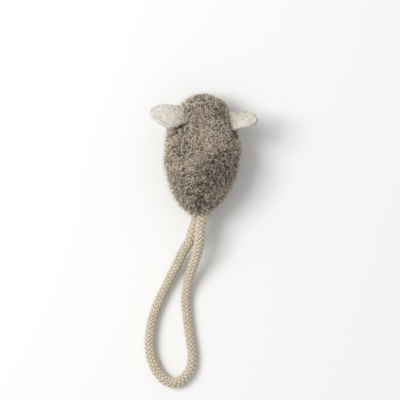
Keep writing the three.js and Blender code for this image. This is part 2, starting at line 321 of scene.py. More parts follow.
def plyGroup(look):  # fine slanting plies on a spun strand, from its own run and turn
    tree = newTree(
        "spunPlies",
        "ShaderNodeTree",
        {"Run": "Float", "Turn": "Float", "Plies": "Float", "Pitch": "Float"},
        {"Ply": "Float", "Wear": "Float"},
    )
    source = addNode(tree, "NodeGroupInput").outputs
    slant = maths(tree, "DIVIDE", source["Run"], source["Pitch"])
    around = maths(tree, "MULTIPLY_ADD", source["Turn"], source["Plies"], slant)
    wave = maths(tree, "SINE", maths(tree, "MULTIPLY", around, fullTurn))
    worn = {"Detail": look["wearDetail"], "Roughness": look["wearRoughness"]}
    made = {
        "Ply": maths(tree, "MULTIPLY_ADD", wave, 0.5, 0.5),
        "Wear": noiseValue(tree, Vector=objectPlace(tree), Scale=look["wearScale"], **worn),
    }
    addNode(tree, "NodeGroupOutput", made)
    return tree


mottle = mottleGroup(mottleLook)
plies = plyGroup(plyLook)


# Materials
def newMaterial(name, roughness, sheen=0.0, specular=0.2, sheenRoughness=0.6):
    material = bpy.data.materials.new(name)
    material.use_nodes = True
    shader = material.node_tree.nodes["Principled BSDF"]
    shader.inputs["Roughness"].default_value = roughness
    shader.inputs["Specular IOR Level"].default_value = specular
    shader.inputs["Sheen Weight"].default_value = sheen
    shader.inputs["Sheen Roughness"].default_value = sheenRoughness
    return material, shader


def plainMaterial(name, colour, roughness, specular):
    material, shader = newMaterial(name, roughness, specular=specular)
    shader.inputs["Base Color"].default_value = colour
    return material


def ramp(tree, value, stops):
    node = addNode(tree, "ShaderNodeValToRGB", {0: value})
    while len(node.color_ramp.elements) < len(stops):
        node.color_ramp.elements.new(0.5)
    for element, (place, colour) in zip(node.color_ramp.elements, stops):
        element.position = place
        element.color = colour
    return node.outputs[0]


def surfaced(tree, shader, tone, height, look):  # coloured by its tone and bumped by its height
    tree.links.new(ramp(tree, tone, look["stops"]), shader.inputs["Base Color"])
    raised = {"Height": height, "Strength": look["bump"], "Distance": look["depth"] * mm}
    tree.links.new(outOf(tree, "ShaderNodeBump", raised), shader.inputs["Normal"])


def spunStrand(tree, run, turn, look):
    strand = {"Run": run, "Turn": turn, "Plies": look["plies"], "Pitch": look["plyPitch"] * mm}
    return addNode(tree, "ShaderNodeGroup", strand, node_tree=plies).outputs


feltLook = {
    "roughness": 0.95,
    "sheen": 0.25,
    "streaks": 0.55,  # how much streaks and clouds add to the tone
    "clouds": 0.6,
    "patch": 0.3,  # how much a painted patch takes from it
    "bump": 0.8,
    "depth": 0.2,
}
fibreLook = {"roughness": 0.85, "specular": 0.25}


def feltMaterial(name, stops, cloudSize, patchName=None):
    material, shader = newMaterial(name, feltLook["roughness"], sheen=feltLook["sheen"])
    tree = material.node_tree
    shares = {"Streaks": feltLook["streaks"], "Clouds": feltLook["clouds"], "Cloud Size": cloudSize}
    mix = addNode(tree, "ShaderNodeGroup", shares, node_tree=mottle).outputs
    tone = maths(tree, "ADD", mix["Streak"], mix["Cloud"])
    if patchName:
        patch = maths(tree, "MULTIPLY", painted(tree, patchName), feltLook["patch"])
        tone = maths(tree, "SUBTRACT", tone, patch)
    surfaced(tree, shader, tone, mix["Height"], {**feltLook, "stops": stops})
    return material


def fibreMaterial(name, colour):  # one tone of wool fibre
    return plainMaterial(name, colour, **fibreLook)


# Tail rope: one length of braided cotton from the mouth, round the loop and back
tailRope = {
    "radius": 2.1,
    "mouth": (-1.2, -22.5384, 11.0),  # on the lifting axis
    "rootLength": 10,  # from the lifting axis to the swinging axis
    # the two strands from inside the felt to the swinging axis, mm
    "upperRoot": [(-0.1, -21.7, 12.9), (0.15, -24.5, 12.9), (-0.2, -28.5, 12.85), (-0.75, -32.5, 12.6)],
    "lowerRoot": [(-4.0, -32.5, 8.4), (-2.8, -28.5, 8.55), (-2.1, -24.5, 8.55), (-2.0, -21.7, 8.65)],
    # middle line from the swinging axis and back to it: beside it, behind it and above the floor, mm
    "wayDown": [
        (0.1, -3.9, 12.2), (-0.4, -7.5, 10.8), (-1.3, -11.0, 9.0), (-2.5, -14.6, 7.2),
        (-3.6, -18.1, 5.6), (-4.6, -21.7, 4.2), (-5.5, -26.1, 3.0), (-6.0, -30.5, 2.4),
    ],
    "onFloor": [
        (-5.6, -35.9), (-5.0, -41.2), (-4.3, -46.5), (-3.4, -51.9), (-3.1, -56.3), (-3.6, -60.3),
        (-5.6, -64.2), (-8.7, -66.9), (-12.1, -67.5), (-15.7, -65.9), (-18.5, -62.8), (-20.4, -59.2),
        (-21.6, -55.3), (-22.1, -51.0), (-21.9, -45.6), (-21.2, -41.2), (-19.8, -35.9), (-17.6, -30.5),
    ],
    "wayUp": [
        (-15.1, -25.2, 2.4), (-12.5, -19.9, 3.0), (-10.2, -15.5, 4.1),
        (-8.1, -11.0, 5.5), (-6.2, -7.5, 6.7), (-4.0, -3.9, 7.9),
    ],
    "lieHeight": 2.2,  # of the middle line on the floor
    # share of the length, and how thick the rope is there beside its usual thickness
    "girths": [
        (0, 1.1), (0.05, 1.16), (0.15, 1.14), (0.22, 1.02), (0.3, 0.97), (0.41, 0.98), (0.47, 1.08),
        (0.52, 1.16), (0.57, 1.14), (0.66, 1.1), (0.78, 1.04), (0.87, 1.14), (0.94, 1.16), (1, 1.05),
    ],
    "finePoints": 2400,  # of the curve that the even steps are taken from
    "stepLength": 0.42,
    "carriers": 16,
    "strandSides": 8,
    # lengths of the plait, mm
    "plait": {
        "Pitch": 15.2,  # along the rope for one turn of a carrier
        "Middle Radius": 1.5,
        "Weave": 0.29,  # how far a strand goes out and in as it crosses
        "Strand Width": 1.0,
        "Strand Thickness": 0.66,
        "Core Radius": 1.15,
    },
    "overStay": 1.35,  # how long a strand stays over or under as it crosses
    "coreSteps": 120,
    "coreSides": 8,
    "weld": 1e-7,
    "foldFrom": 4.0,  # stretch ahead of the swinging axis and behind it
    "foldTo": 4.0,
}
cottonLook = {
    "stops": [(0.1, shade(152, 136, 110)), (0.5, shade(200, 186, 162)), (0.85, shade(222, 210, 189))],
    "roughness": 0.9,
    "sheen": 0.15,
    "plies": 5,
    "plyPitch": 2.1,  # mm
    # what makes up the tone: how far out the strand is, its wear, its plies and which way it faces; how
    # far out and which way it faces are painted shade, darker where a strand dips under and where strands
    # meet
    "base": -0.4,
    "lift": 0.45,
    "wear": 0.9,
    "ply": 0.1,
    "face": 0.35,
    "bump": 0.5,
    "depth": 0.1,
}


def cordMaterial(name, look):
    material, shader = newMaterial(name, look["roughness"], sheen=look["sheen"])
    tree = material.node_tree
    spun = spunStrand(tree, painted(tree, "strandRun"), painted(tree, "strandTurn"), look)
    tone = look["base"]
    # lift and face paint shade into the crevices of the plait
    for value, weight in (
        (painted(tree, "strandLift"), look["lift"]),
        (spun["Wear"], look["wear"]),
        (spun["Ply"], look["ply"]),
        (painted(tree, "strandFace"), look["face"]),
    ):
        tone = maths(tree, "MULTIPLY_ADD", value, weight, tone)
    surfaced(tree, shader, tone, spun["Ply"], look)
    return material


def ropeLine(rope):
    x, y = rope["mouth"][:2]
    swing = y - rope["rootLength"]
    lying = [(beside, back, rope["lieHeight"]) for beside, back in rope["onFloor"]]
    route = rope["wayDown"] + lying + rope["wayUp"]
    behind = [(x + beside, swing + back, height) for beside, back, height in route]
    dense = smoothLine(rope["upperRoot"] + behind + rope["lowerRoot"], rope["finePoints"])
    runs = np.concatenate([[0], np.cumsum(np.linalg.norm(np.diff(dense, axis=0), axis=1))])
    count = int(runs[-1] / rope["stepLength"]) + 1
    even = np.linspace(0, runs[-1], count)
    line = np.stack([np.interp(even, runs, dense[:, i]) for i in range(3)], axis=1)
    girth = np.interp(even / runs[-1], *zip(*rope["girths"]))
    line[:, 2] += (girth - 1) * rope["radius"]  # a thicker stretch lies higher
    return line * mm, girth, runs[-1] * mm


def woundCarriers(tree, source, line, overStay):  # wound both ways, crossing two over and two under
    wanted = {"Geometry": line, "Amount": source["Carriers"]}
    copies = addNode(tree, "GeometryNodeDuplicateElements", wanted, domain="SPLINE").outputs
    index = copies["Duplicate Index"]
    half = maths(tree, "FLOOR", maths(tree, "MULTIPLY", index, 0.5))
    odd = maths(tree, "SUBTRACT", index, maths(tree, "MULTIPLY", half, 2.0))
    way = maths(tree, "MULTIPLY_ADD", odd, 2.0, -1.0)  # which way round this carrier goes
    pairs = maths(tree, "MULTIPLY", source["Carriers"], 0.5)
    start = maths(tree, "DIVIDE", half, pairs)
    run = addNode(tree, "GeometryNodeSplineParameter").outputs["Length"]
    turns = maths(tree, "DIVIDE", run, source["Pitch"])
    angle = maths(tree, "MULTIPLY", maths(tree, "MULTIPLY_ADD", turns, way, start), fullTurn)
    quarter = maths(tree, "MULTIPLY_ADD", angle, maths(tree, "MULTIPLY", pairs, 0.5), math.pi / 4)
    columns = maths(tree, "MULTIPLY", maths(tree, "COSINE", quarter), overStay)
    crossing = outOf(tree, "ShaderNodeClamp", {0: columns, 1: -1.0, 2: 1.0})
    over = maths(tree, "MULTIPLY", crossing, way)
    normal = outOf(tree, "GeometryNodeInputNormal")
    side = vectorMaths(tree, "CROSS_PRODUCT", outOf(tree, "GeometryNodeInputTangent"), normal)
    outX = vectorMaths(tree, "SCALE", normal, maths(tree, "COSINE", angle), "Scale")
    outY = vectorMaths(tree, "SCALE", side, maths(tree, "SINE", angle), "Scale")
    radius = maths(tree, "MULTIPLY_ADD", over, source["Weave"], source["Middle Radius"])
    wound = copies["Geometry"]
    for name, kind, value in (
        ("strandOut", "FLOAT_VECTOR", vectorMaths(tree, "ADD", outX, outY)),
        ("strandRadius", "FLOAT", maths(tree, "MULTIPLY", radius, stored(tree, "girth"))),
        ("strandLift", "FLOAT", maths(tree, "MULTIPLY_ADD", over, 0.5, 0.5)),
        ("strandRun", "FLOAT", run),
    ):
        wound = store(tree, wound, name, value, kind)
    outward = stored(tree, "strandOut", "FLOAT_VECTOR")
    offset = vectorMaths(tree, "SCALE", outward, stored(tree, "strandRadius"), "Scale")
    wound = outOf(tree, "GeometryNodeSetPosition", {"Geometry": wound, "Offset": offset})
    return outOf(tree, "GeometryNodeSetCurveNormal", {"Curve": wound, "Normal": outward}, mode="FREE")


def strandOval(tree, source):  # section of a strand, with its turn and face kept for the material
    oval = circleLine(tree, source["Strand Sides"], 0.5)
    turn = addNode(tree, "GeometryNodeSplineParameter").outputs["Factor"]
    face = maths(tree, "COSINE", maths(tree, "MULTIPLY", turn, fullTurn))
    oval = store(tree, oval, "strandTurn", turn)
    oval = store(tree, oval, "strandFace", face)
    flat = {0: source["Strand Thickness"], 1: source["Strand Width"], 2: 1.0}
    size = outOf(tree, "ShaderNodeCombineXYZ", flat)
    return outOf(tree, "GeometryNodeTransform", {"Geometry": oval, "Scale": size})


def plaitTree(rope):  # plaited strands round a core, along the host's line
    inputs = {"Geometry": "Geometry", "Carriers": "Int", "Strand Sides": "Int", "Material": "Material"}
    inputs.update({label: "Float" for label in rope["plait"]})
    tree = newTree("plaitedCord", "GeometryNodeTree", inputs, {"Geometry": "Geometry"})
    source = addNode(tree, "NodeGroupInput").outputs
    line = outOf(tree, "GeometryNodeMeshToCurve", {0: source["Geometry"]})
    wound = woundCarriers(tree, source, line, rope["overStay"])
    strands = sweptAlong(tree, wound, strandOval(tree, source), Scale=stored(tree, "girth"))
    coreLine = outOf(tree, "GeometryNodeResampleCurve", {"Curve": line, "Count": rope["coreSteps"]})
    core = sweptAlong(tree, coreLine, circleLine(tree, rope["coreSides"], source["Core Radius"]))
    endTree(tree, joined(tree, [core, strands]), source["Material"])
    return tree


def makeRope(rope, look):
    line, girth, length = ropeLine(rope)
    edges = [(i, i + 1) for i in range(len(line) - 1)]
    host = meshPiece("ropeLine", line, [], edges=edges)
    paint(host.data, "girth", girth)
    values = {label: size * mm for label, size in rope["plait"].items()}
    values["Carriers"] = rope["carriers"]
    values["Strand Sides"] = rope["strandSides"]
    values["Material"] = cordMaterial("braidedCotton", look)
    piece = grow("tail_rope", host, plaitTree(rope), values)
    bpy.data.objects.remove(host)
    tidyFaces(piece.data, rope["weld"])
    return piece, line, length


def bendAtSwing(piece):
    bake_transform(piece)


rope, ropePath, ropeLength = makeRope(tailRope, cottonLook)
bendAtSwing(rope)
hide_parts("tail_root", "tail_loop")
print("rope plaited, length", round(ropeLength, 4), "m")

# Floor and soft light from the upper left
studio = {
    "floorTint": shade(247, 247, 246),
    "floorRoughness": 0.9,
    "floorReach": 3.0,  # from the middle to each side, metres
    "floorDrop": 0.0003,
    "skyTint": (1, 1, 1, 1),
    "skyStrength": 0.5,
    "lampPower": 10.4,
    "lampPlace": (-0.68, 0.22, 0.97),
    "lampAim": (0, -0.02, 0),
    "lampSize": 0.6,
}


def setStudio(light):
    reach, drop = light["floorReach"], light["floorDrop"]
    corners = [(x * reach, y * reach, -drop) for x, y in ((-1, -1), (1, -1), (1, 1), (-1, 1))]
    material = plainMaterial("paleFloor", light["floorTint"], light["floorRoughness"], specular=0.0)
    floor = meshPiece("floor", corners, [(0, 1, 2, 3)], material)
    world = bpy.data.worlds.new("studio")
    world.use_nodes = True
    sky = world.node_tree.nodes["Background"]
    sky.inputs["Color"].default_value = light["skyTint"]
    sky.inputs["Strength"].default_value = light["skyStrength"]
    scene.world = world
    data = bpy.data.lights.new("windowLamp", "AREA")
    data.size = light["lampSize"]
    data.energy = light["lampPower"]
    lamp = bpy.data.objects.new("windowLamp", data)
    lamp.location = light["lampPlace"]
    aim = Vector(light["lampAim"]) - Vector(light["lampPlace"])
    lamp.rotation_euler = aim.to_track_quat("-Z", "Y").to_euler()
    scene.collection.objects.link(lamp)
    scene.view_settings.view_transform = "Standard"


setStudio(studio)
print("floor and light set")


# Wool fibres that lie tangled on a surface
fibreShape = {
    "segments": 2,
    "sides": 3,
    "spread": 0.4,  # how much lengths differ, as a share
    "endThickness": 0.35,  # beside that of the middle
    "handles": (0.33, 0.67),  # places of the bends along the fibre
    "mostRoll": 0.5,
    # locks of two fibres: the bends of each, across it and up, and how far it lies beside the lock's line
    "locks": [
        [((0.30, 0.10), (-0.25, 0.02), 0.0), ((0.34, 0.02), (-0.15, 0.08), 0.13)],
        [((0.36, 0.06), (0.30, 0.08), 0.0), ((0.26, 0.10), (0.36, 0.02), -0.13)],
        [((-0.28, 0.02), (0.42, 0.10), 0.0), ((-0.20, 0.08), (0.30, 0.00), 0.14)],
    ],
    "seeds": {"height": 3, "roll": 5, "tilt": 7, "spin": 11, "size": 13, "lock": 17},
}
lyingFlat = {"anchor": 0.5, "tilt": (-0.12, 0.12)}  # how a fibre lies that says nothing else


def lockInstance(tree, shape, lock, section, taper, back):  # one lock of fibres to scatter
    nearPlace, farPlace = shape["handles"]
    fibres = []
    for (nearSide, nearUp), (farSide, farUp), beside in lock:
        bends = {
            "Resolution": shape["segments"],
            "Start": (0, beside, 0),
            "Start Handle": (nearPlace, nearSide + beside, nearUp),
            "End Handle": (farPlace, farSide + beside, farUp),
            "End": (1, beside, 0),
        }
        bend = outOf(tree, "GeometryNodeCurvePrimitiveBezierSegment", bends)
        fibres.append(sweptAlong(tree, bend, section, Scale=taper))
    shifted = {"Geometry": joined(tree, fibres), "Translation": back}
    moved = outOf(tree, "GeometryNodeTransform", shifted)
    return outOf(tree, "GeometryNodeGeometryToInstance", {0: moved})


def woolTree(shape):
    tree = newTree(
        "woolFibres",
        "GeometryNodeTree",
        {
            "Geometry": "Geometry",
            "Density": "Float",  # locks for each square millimetre
            "Patch": "String",  # painted share of that density
            "Length": "Float",
            "Spread": "Float",
            "Thickness": "Float",
            "Anchor": "Float",  # place along the fibre that sits on the surface
            "Tilt Low": "Float",
            "Tilt High": "Float",
            "Sink": "Float",
            "Rise": "Float",
            "Seed": "Int",
            "Material": "Material",
        },
        {"Geometry": "Geometry"},
    )
    seeds = shape["seeds"]
    source = addNode(tree, "NodeGroupInput").outputs
    slim = maths(tree, "DIVIDE", maths(tree, "MULTIPLY", source["Thickness"], 0.5), source["Length"])
    section = circleLine(tree, shape["sides"], slim)
    factor = addNode(tree, "GeometryNodeSplineParameter").outputs["Factor"]
    belly = maths(tree, "SINE", maths(tree, "MULTIPLY", factor, math.pi))
    ends = shape["endThickness"]
    taper = maths(tree, "MULTIPLY_ADD", belly, 1 - ends, ends)
    behind = maths(tree, "MULTIPLY", source["Anchor"], -1.0)
    back = outOf(tree, "ShaderNodeCombineXYZ", {0: behind})
    locks = [lockInstance(tree, shape, lock, section, taper, back) for lock in shape["locks"]]
    eachMetre = maths(tree, "MULTIPLY", source["Density"], 1 / mm ** 2)
    density = maths(tree, "MULTIPLY", eachMetre, stored(tree, source["Patch"]))
    sown = {"Mesh": source["Geometry"], "Density": density, "Seed": source["Seed"]}
    spots = addNode(tree, "GeometryNodeDistributePointsOnFaces", sown).outputs
    height = randomValue(tree, source["Sink"], source["Rise"], seeds["height"])
    offset = vectorMaths(tree, "SCALE", spots["Normal"], height, "Scale")
    raised = outOf(tree, "GeometryNodeSetPosition", {"Geometry": spots["Points"], "Offset": offset})
    turns = {
        0: randomValue(tree, -shape["mostRoll"], shape["mostRoll"], seeds["roll"]),
        1: randomValue(tree, source["Tilt Low"], source["Tilt High"], seeds["tilt"]),
        2: randomValue(tree, 0.0, fullTurn, seeds["spin"]),
    }
    turned = outOf(tree, "FunctionNodeEulerToRotation", {0: outOf(tree, "ShaderNodeCombineXYZ", turns)})
    lie = {"Rotation": spots["Rotation"], "Rotate By": turned}
    laid = outOf(tree, "FunctionNodeRotateRotation", lie, rotation_space="LOCAL")
    short = maths(tree, "MULTIPLY", source["Length"], maths(tree, "SUBTRACT", 1.0, source["Spread"]))
    long = maths(tree, "MULTIPLY", source["Length"], maths(tree, "ADD", 1.0, source["Spread"]))
    choice = {4: 0, 5: len(locks) - 1, "Seed": seeds["lock"]}
    pick = addNode(tree, "FunctionNodeRandomValue", choice, data_type="INT").outputs[2]
    scatter = {
        "Points": raised,
        "Instance": joined(tree, locks),
        "Pick Instance": True,
        "Instance Index": pick,
        "Rotation": laid,
        "Scale": randomValue(tree, short, long, seeds["size"]),
    }
    endTree(tree, outOf(tree, "GeometryNodeInstanceOnPoints", scatter), source["Material"])
    return tree


wool = woolTree(fibreShape)


def scatterWool(name, host, tone, material, seed):
    fibre = {**lyingFlat, **tone}
    tiltLow, tiltHigh = fibre["tilt"]
    sink, rise = fibre["rise"]
    values = {
        "Density": fibre["density"],
        "Patch": fibre["patch"],
        "Length": fibre["length"] * mm,
        "Spread": fibreShape["spread"],
        "Thickness": fibre["thickness"] * mm,
        "Anchor": fibre["anchor"],
        "Tilt Low": tiltLow,
        "Tilt High": tiltHigh,
        "Sink": sink * mm,
        "Rise": rise * mm,
        "Seed": seed,
        "Material": material,
    }
    return grow(name, host, wool, values)


# Ears: felt leaves sewn in at a hem, each in a frame of its own at its hinge
earFelt = {
    "thickness": 2.4,
    "rimPower": 2.6,  # how full the leaf stays towards its sides and its tip
    "tipPower": 5,
    "foldFrom": 2,  # stretch of the leaf over which its fold sets in, and how round that is, mm
    "foldTo": 7.5,
    "foldSoftness": 1,
    "alongSteps": 30,
    "acrossSteps": 20,
    "tuckSteps": 2,
    "rootTuck": 1.1,  # how far the leaf goes on behind its hinge
    "tuckPinch": 0.35,  # thickness at the end of that, as a share
    "hemMargin": 1.5,  # how far the hem's pull on the felt goes on past its ends
    "bendFrom": 1.5, "bendTo": 11.0,  # stretch of the leaf from the hinge, mm
    "weld": 2e-5,
    "lumpSize": 3.2,
    "lumpHeight": 0.16,
    "lumpSeed": 3,
    # stretches along the leaf over which lumps, wool and the paler tip set in and strays end, mm
    "lumpStretch": (1.5, 5),
    "woolStretch": (2.0, 5.0),
    "tipStretch": (4.0, 14.0),
    "strayStretch": (2.0, 6.5),
    "leastWool": 0.5,  # share of all wool that is left at the hem
    "leastTip": 0.3,  # least share of the tip's pale wool
    "rootLoss": 0.85,  # most of the root's wool that goes missing, as a share
}
leftEar = {
    "node": "left_ear",
    "side": -1,
    "root": (-6.5934, 18.4384, 18.205),
    "sweep": 10, "lift": 12, "roll": 25, "fold": 8,  # degrees
    "crease": 0.5,  # where the fold runs, as a share of the way across
    "nudge": (0.4, -0.87, -0.8),  # of the leaf against its hinge, mm
    # place along the leaf, height and width, mm
    "ripples": [(3.3, 0.3, 0.5), (4.6, 0.3, 0.5), (5.9, 0.2, 0.5)],
    "grade": 1.0,  # how much paler the tip is than the hem
    "mix": {"ivory": 1, "oat": 1, "ash": 0.25, "down": 1, "strays": 1},  # how much of each wool
    "hem": 4.4,  # half its length, mm
    # flat outline in the ear's own frame, from the front of the hem round the tip, mm
    "outline": [
        (0, -5.2), (4.2, -5.2), (8.4, -4.7), (11.5, -4.3), (14.4, -3.3), (16.4, -1.8), (17.2, 0.8),
        (16.3, 3.3), (13.4, 5.4), (10.2, 6.7), (7.5, 6.6), (2.8, 4.8), (0, 3.0),
    ],
}
rightEar = {
    "node": "right_ear",
    "side": 1,
    "root": (10.53, 17.0984, 13.8875),
    "sweep": 8, "lift": 33, "roll": 13, "fold": 36,
    "crease": 0.58,
    "nudge": (0.68, -0.09, 0),
    "ripples": [],
    "grade": -0.3,
    # much ash-grey wool and little ivory: painted shade, greying the ear that folds away from the lamp
    "mix": {"ivory": 0.25, "oat": 0.5, "ash": 4.4, "down": 0.7, "strays": 0.4},
    "hem": 3.8,
    "outline": [
        (0, -4.4), (3.1, -5.4), (6.1, -6.3), (9.7, -6.6), (13.1, -5.7), (15.6, -3.2),
        (15.2, 0.3), (12.7, 2.2), (9.1, 2.8), (5.5, 2.9), (0, 3.8),
    ],
}


def earFrame(ear):
    half = Matrix.Rotation(0 if ear["side"] > 0 else math.pi, 4, "Z")
    sweep = Matrix.Rotation(ear["side"] * math.radians(ear["sweep"]), 4, "Z")
    lift = Matrix.Rotation(-math.radians(ear["lift"]), 4, "Y")
    roll = Matrix.Rotation(-ear["side"] * math.radians(ear["roll"]), 4, "X")
    return Matrix.Translation(Vector(ear["root"])) @ half @ sweep @ lift @ roll


def placed(ear, points):  # from an ear's own millimetres to the part's metres
    matrix = np.array(earFrame(ear))
    return (np.asarray(points) @ matrix[:3, :3].T + matrix[:3, 3]) * mm


def inEar(ear, points):  # and back
    matrix = np.array(earFrame(ear).inverted())
    return (points / mm) @ matrix[:3, :3].T + matrix[:3, 3]


def flatLeaf(ear, felt):  # upper and lower side of the leaf, with the line of its fold beside each point
    rows, columns, tuck = felt["alongSteps"], felt["acrossSteps"], felt["tuckSteps"]
    width = columns + 1
    edge = smoothLine(ear["outline"], 2 * rows + 1)
    points, middles, faces = [], [], []
    for top in (1, -1):
        first = len(points)
        for i in range(-tuck, rows + 1):
            row = max(i, 0)
            near, far = edge[row], edge[2 * rows - row]
            tip = math.sqrt(max(0, 1 - (row / rows) ** felt["tipPower"]))
            pinch = felt["tuckPinch"] if i == -tuck else 1
            for j in range(width):
                across = j / columns
                x, y = near + (far - near) * across
                x += min(i, 0) * felt["rootTuck"] / tuck
                rim = (1 - abs(2 * across - 1) ** felt["rimPower"]) ** (1 / felt["rimPower"])
                points.append((x, y, top * felt["thickness"] / 2 * rim * tip * pinch))
                middles.append(near[1] + (far[1] - near[1]) * ear["crease"])
        for i in range(rows + tuck):
            for j in range(columns):
                corner = first + i * width + j
                ring = [corner, corner + 1, corner + width + 1, corner + width]
                faces.append(ring if top > 0 else ring[::-1])
    count = len(points) // 2
    faces += [(j + 1, j, count + j, count + j + 1) for j in range(columns)]  # closes the hem
    return np.array(points), np.array(middles), faces


def makeEar(ear, felt, material):
    points, middles, faces = flatLeaf(ear, felt)
    fold = math.radians(ear["fold"]) * stepAlong(points[:, 0], felt["foldFrom"], felt["foldTo"])
    aside = points[:, 1] - middles
    points[:, 2] += (np.hypot(aside, felt["foldSoftness"]) - felt["foldSoftness"]) * np.sin(fold)
    points[:, 1] = middles + aside * np.cos(fold)
    for place, height, width in ear["ripples"]:
        points[:, 2] += height * np.exp(-((points[:, 0] - place) / width) ** 2)
    seated = placed(ear, points) + np.array(ear["nudge"]) * mm
    piece = meshPiece(ear["node"] + "_leaf", seated, faces, material)
    tidyFaces(piece.data, felt["weld"])
    mesh = rounded(piece)
    spots = pointsOf(mesh)
    along = inEar(ear, spots)[:, 0]
    swell = lumps(spots, felt["lumpSize"], felt["lumpSeed"]) * felt["lumpHeight"]
    movePoints(mesh, pushedOut(mesh, spots, swell * stepAlong(along, *felt["lumpStretch"])))
    least = felt["leastWool"]
    free = least + (1 - least) * stepAlong(along, *felt["woolStretch"])
    tipward = 0.5 + ear["grade"] * (stepAlong(along, *felt["tipStretch"]) - 0.5)
    paint(mesh, "earFree", free)
    paint(mesh, "earHem", 1 - stepAlong(along, *felt["strayStretch"]))
    paint(mesh, "earTip", free * (felt["leastTip"] + (1 - felt["leastTip"]) * tipward))
    paint(mesh, "earRoot", free * (1 - felt["rootLoss"] * tipward))
    mesh.shade_smooth()
    return piece


earWool = [
    {
        "name": "ivory", "colour": shade(254, 252, 247), "patch": "earTip",
        "density": 3.4, "length": 1.9, "thickness": 0.15, "rise": (-0.1, 0.05),
    },
    {
        "name": "oat", "colour": shade(230, 217, 195), "patch": "earRoot",
        "density": 1.4, "length": 1.7, "thickness": 0.15, "rise": (-0.1, 0.05),
    },
    {
        "name": "ash", "colour": shade(189, 189, 178), "patch": "earFree",
        "density": 1.0, "length": 1.5, "thickness": 0.11, "rise": (-0.1, 0.05),
    },
    {
        "name": "down", "colour": shade(253, 250, 243), "patch": "earFree",
        "density": 0.9, "length": 1.2, "thickness": 0.06, "rise": (-0.05, 0.05),
        "anchor": 0.1, "tilt": (-1.0, -0.3),
    },
    {
        # body wool felted over the hem
        "name": "strays", "colour": shade(150, 132, 114), "patch": "earHem",
        "density": 1.9, "length": 1.3, "thickness": 0.14, "rise": (-0.05, 0.1),
    },
]
earTone = {tone["name"]: fibreMaterial("earWool_" + tone["name"], tone["colour"]) for tone in earWool}
creamFelt = feltMaterial(
    "creamFelt",
    [(0.1, shade(222, 213, 197)), (0.4, shade(242, 237, 227)), (0.75, shade(253, 251, 247))],
    cloudSize=2.5,
    patchName="earRoot",
)


def bendAtRoot(piece):
    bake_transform(piece)


def dressEar(ear, seed):
    leaf = makeEar(ear, earFelt, creamFelt)
    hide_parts(ear["node"])
    for step, tone in enumerate(earWool):
        name = tone["name"]
        laid = dict(tone, density=tone["density"] * ear["mix"][name])
        fibres = scatterWool(f"{ear['node']}_wool_{name}", leaf, laid, earTone[name], seed + step)
        bendAtRoot(fibres)
    bendAtRoot(leaf)


dressEar(leftEar, seed=21)
dressEar(rightEar, seed=31)
print("ears dressed")

